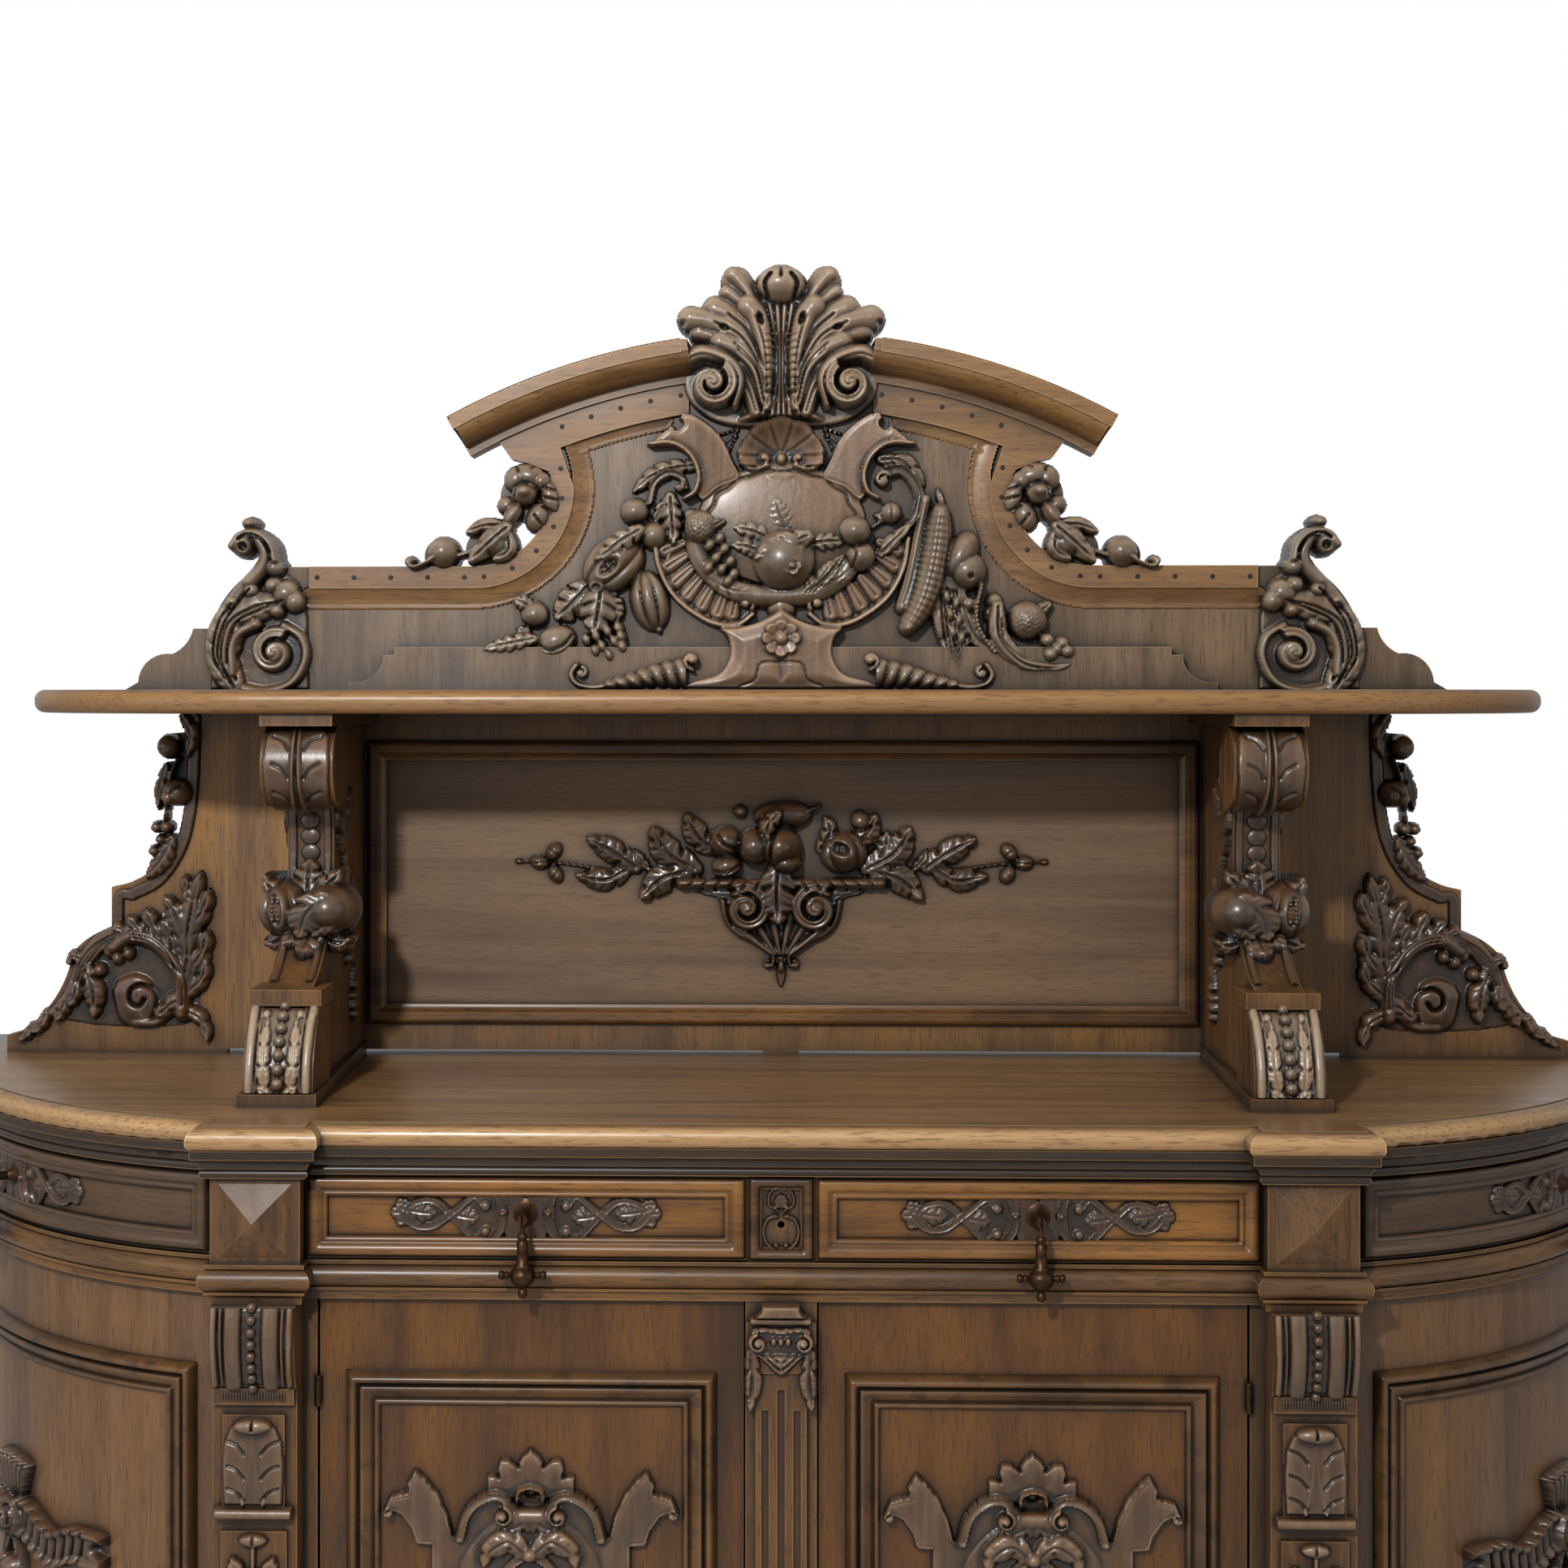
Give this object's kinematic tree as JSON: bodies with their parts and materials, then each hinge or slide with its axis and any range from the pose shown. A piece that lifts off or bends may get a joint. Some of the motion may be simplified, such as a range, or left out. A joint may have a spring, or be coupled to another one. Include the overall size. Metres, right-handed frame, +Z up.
{
  "type": "carved sideboard",
  "caption": "Carved walnut sideboard with bowed ends, panelled cupboard doors, drawers with drop pulls, and a bracketed gallery shelf under an arched crest.",
  "frame": {"origin": "on the floor, midway along the width and the depth", "axes": "+X to the right seen from the front, +Y towards the wall, +Z up"},
  "size_m": [2.068, 0.581, 1.953],
  "materials": {
    "walnut": "waxed",
    "top_walnut": "polished",
    "veneer": "polished",
    "carved_walnut": "dark patinated",
    "inner_wood": "raw",
    "bronze": "dark patinated",
    "hinge_brass": "aged"
  },
  "bodies": {
    "carcass": {"bottom_board": "inner_wood", "brackets": "carved_walnut", "carcass_back": "inner_wood", "centre_pilaster": "carved_walnut", "crest_board": "walnut", "crest_carving": "carved_walnut", "crest_mouldings": "walnut", "crest_palmette": "carved_walnut", "crest_plinth": "walnut", "crest_volutes": "carved_walnut", "cupboard_shelves": "inner_wood", "dust_boards": "inner_wood", "end_posts": "walnut", "frieze_frame": "walnut", "gallery_shelf": "top_walnut", "hinge_pins": "hinge_brass", "lock_block": "carved_walnut", "partitions": "inner_wood", "pilaster_blocks": "carved_walnut", "pilasters": "carved_walnut", "plinth": "walnut", "upper_back_carving": "carved_walnut", "upper_back_frame": "walnut", "upper_back_moulding": "walnut", "upper_back_panel": "veneer", "waist_frame": "walnut", "wings": "carved_walnut", "worktop": "top_walnut"},
    "bow_door_left": {"bow_door_left": "veneer", "bow_door_left_carving": "carved_walnut", "bow_door_left_hinges": "hinge_brass", "bow_door_left_moulding": "walnut"},
    "bow_door_right": {"bow_door_right": "veneer", "bow_door_right_carving": "carved_walnut", "bow_door_right_hinges": "hinge_brass", "bow_door_right_moulding": "walnut"},
    "bow_drawer_left": {"bow_drawer_left_box": "inner_wood", "bow_drawer_left_front": "veneer", "bow_drawer_left_pull_eye": "bronze"},
    "bow_drawer_left_pull": {"bow_drawer_left_pull_drop": "bronze"},
    "bow_drawer_right": {"bow_drawer_right_box": "inner_wood", "bow_drawer_right_front": "veneer", "bow_drawer_right_pull_eye": "bronze"},
    "bow_drawer_right_pull": {"bow_drawer_right_pull_drop": "bronze"},
    "door_left": {"door_left": "veneer", "door_left_carving": "carved_walnut", "door_left_hinges": "hinge_brass", "door_left_moulding": "walnut"},
    "door_right": {"door_right": "veneer", "door_right_carving": "carved_walnut", "door_right_hinges": "hinge_brass", "door_right_moulding": "walnut"},
    "drawer_left": {"drawer_left_box": "inner_wood", "drawer_left_front": "veneer", "drawer_left_pull_eye": "bronze"},
    "drawer_left_pull": {"drawer_left_pull_drop": "bronze"},
    "drawer_right": {"drawer_right_box": "inner_wood", "drawer_right_front": "veneer", "drawer_right_pull_eye": "bronze"},
    "drawer_right_pull": {"drawer_right_pull_drop": "bronze"}
  },
  "joints": [
    {"name": "drawer_left_slide", "type": "slide", "parent": "carcass", "child": "drawer_left", "axis": [0, -1, 0], "range_m": [0, 0.32]},
    {"name": "bow_drawer_left_slide", "type": "slide", "parent": "carcass", "child": "bow_drawer_left", "axis": [-0.766, -0.6428, 0], "range_m": [0, 0.2]},
    {"name": "drawer_left_pull_swing", "type": "hinge", "parent": "drawer_left", "child": "drawer_left_pull", "pos_m": [-0.273, -0.2715, 0.86168], "axis": [-1, 0, 0], "range_deg": [0, 75]},
    {"name": "bow_drawer_left_pull_swing", "type": "hinge", "parent": "bow_drawer_left", "child": "bow_drawer_left_pull", "pos_m": [-0.91052, -0.07075, 0.86168], "axis": [-0.6428, 0.766, 0], "range_deg": [0, 75]},
    {"name": "door_left_hinge", "type": "hinge", "parent": "carcass", "child": "door_left", "pos_m": [-0.4965, -0.2385, 0.45], "axis": [0, 0, -1], "range_deg": [0, 90]},
    {"name": "bow_door_left_hinge", "type": "hinge", "parent": "carcass", "child": "bow_door_left", "pos_m": [-1.00704, 0.245, 0.45], "axis": [0, 0, -1], "range_deg": [0, 85]},
    {"name": "drawer_right_slide", "type": "slide", "parent": "carcass", "child": "drawer_right", "axis": [0, -1, 0], "range_m": [0, 0.32]},
    {"name": "bow_drawer_right_slide", "type": "slide", "parent": "carcass", "child": "bow_drawer_right", "axis": [0.766, -0.6428, 0], "range_m": [0, 0.2]},
    {"name": "drawer_right_pull_swing", "type": "hinge", "parent": "drawer_right", "child": "drawer_right_pull", "pos_m": [0.273, -0.2715, 0.86168], "axis": [-1, 0, 0], "range_deg": [0, 75]},
    {"name": "bow_drawer_right_pull_swing", "type": "hinge", "parent": "bow_drawer_right", "child": "bow_drawer_right_pull", "pos_m": [0.91052, -0.07075, 0.86168], "axis": [-0.6428, -0.766, 0], "range_deg": [0, 75]},
    {"name": "door_right_hinge", "type": "hinge", "parent": "carcass", "child": "door_right", "pos_m": [0.4965, -0.2385, 0.45], "axis": [0, 0, 1], "range_deg": [0, 90]},
    {"name": "bow_door_right_hinge", "type": "hinge", "parent": "carcass", "child": "bow_door_right", "pos_m": [1.00704, 0.245, 0.45], "axis": [0, 0, 1], "range_deg": [0, 85]}
  ]
}
